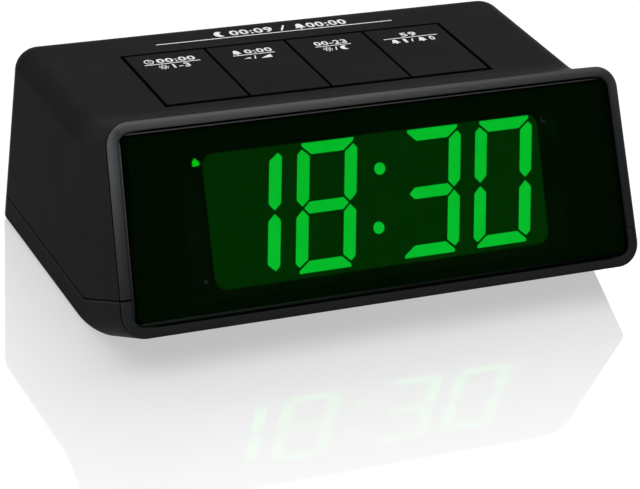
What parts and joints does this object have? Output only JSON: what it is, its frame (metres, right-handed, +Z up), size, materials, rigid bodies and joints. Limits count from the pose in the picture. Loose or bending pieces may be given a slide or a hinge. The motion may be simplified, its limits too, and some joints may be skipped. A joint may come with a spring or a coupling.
{
  "type": "digital led desk clock",
  "caption": "Wedge-shaped plastic desk clock with a leaning green seven-segment LED display, a row of flat keys on top and a back-up battery bay below.",
  "frame": {"origin": "Centre of the footprint, on the surface that the four feet stand on.", "axes": "+X to the right across the display as seen from the front, +Y from the display to the back, +Z up."},
  "size_m": [0.1406, 0.0881, 0.0546],
  "materials": {
    "case_plastic": "satin, very fine grain",
    "key_plastic": "satin",
    "lens_acrylic": "polished, green tint",
    "mask_print": "gloss black print",
    "filter_green": "clear tinted film",
    "tape_foam": "matt",
    "module_plastic": "matt",
    "segment_lit": "diffusing, lit from behind",
    "segment_dark": "diffusing, unlit",
    "die_yellow": "polished",
    "board_fibre": "lacquered fibreglass",
    "chip_black": "matt",
    "plated_steel": "bright plating",
    "spring_steel": "nickel plating",
    "jack_brass": "nickel on brass",
    "can_aluminium": "satin with a printed sleeve",
    "foot_rubber": "matt",
    "cell_jacket": "gloss printed jacket",
    "wire_red": "satin insulation",
    "wire_grey": "satin insulation",
    "buzzer_plastic": "matt",
    "switch_plastic": "matt",
    "stem_plastic": "smooth",
    "resistor_ceramic": "glazed"
  },
  "bodies": {
    "housing": {"upper_case": "case_plastic", "lower_case": "case_plastic", "feet": "foot_rubber", "case_screws": "plated_steel", "display_lens": "lens_acrylic", "lens_tape": "tape_foam", "mask_film": "mask_print", "filter_film": "filter_green", "display_housing": "module_plastic", "lit_segments": "segment_lit", "unlit_segments": "segment_dark", "colon_dots": "segment_lit", "alarm_mark": "segment_lit", "idle_marks": "segment_dark", "led_dice": "die_yellow", "display_board": "board_fibre", "display_pins": "plated_steel", "display_screws": "plated_steel", "driver_chips": "chip_black", "display_ribbon": "wire_grey", "headers": "stem_plastic", "key_board": "board_fibre", "key_board_screws": "plated_steel", "key_ribbon": "wire_grey", "switch_bodies": "switch_plastic", "main_board": "board_fibre", "board_screws": "plated_steel", "clock_chip": "chip_black", "crystal": "plated_steel", "capacitors": "can_aluminium", "regulator": "chip_black", "diodes": "chip_black", "resistors": "resistor_ceramic", "power_jack": "switch_plastic", "jack_pin": "jack_brass", "jack_spring": "spring_steel", "buzzer": "buzzer_plastic", "buzzer_leads": "wire_red", "backup_cells": "cell_jacket", "battery_contact_plus": "spring_steel", "battery_contact_minus": "spring_steel", "battery_link": "spring_steel", "battery_leads": "wire_red"},
    "time_key": {"key_time": "key_plastic", "switch_stem_time": "stem_plastic"},
    "alarm_key": {"key_alarm": "key_plastic", "switch_stem_alarm": "stem_plastic"},
    "hour_key": {"key_hour": "key_plastic", "switch_stem_hour": "stem_plastic"},
    "minute_key": {"key_minute": "key_plastic", "switch_stem_minute": "stem_plastic"},
    "door": {"battery_door": "case_plastic"}
  },
  "joints": [
    {"name": "time_key_press", "type": "slide", "parent": "housing", "child": "time_key", "axis": [0, 0, -1], "range_m": [0, 0.0008], "stiffness_N_per_m": 1250, "springref_m": -0.0005},
    {"name": "alarm_key_press", "type": "slide", "parent": "housing", "child": "alarm_key", "axis": [0, 0, -1], "range_m": [0, 0.0008], "stiffness_N_per_m": 1250, "springref_m": -0.0005},
    {"name": "hour_key_press", "type": "slide", "parent": "housing", "child": "hour_key", "axis": [0, 0, -1], "range_m": [0, 0.0008], "stiffness_N_per_m": 1250, "springref_m": -0.0005},
    {"name": "minute_key_press", "type": "slide", "parent": "housing", "child": "minute_key", "axis": [0, 0, -1], "range_m": [0, 0.0008], "stiffness_N_per_m": 1250, "springref_m": -0.0005},
    {"name": "door_swing", "type": "hinge", "parent": "housing", "child": "door", "pos_m": [-0.031, 0.0271, 0.0026], "axis": [1, 0, 0], "range_deg": [0, 20]}
  ]
}
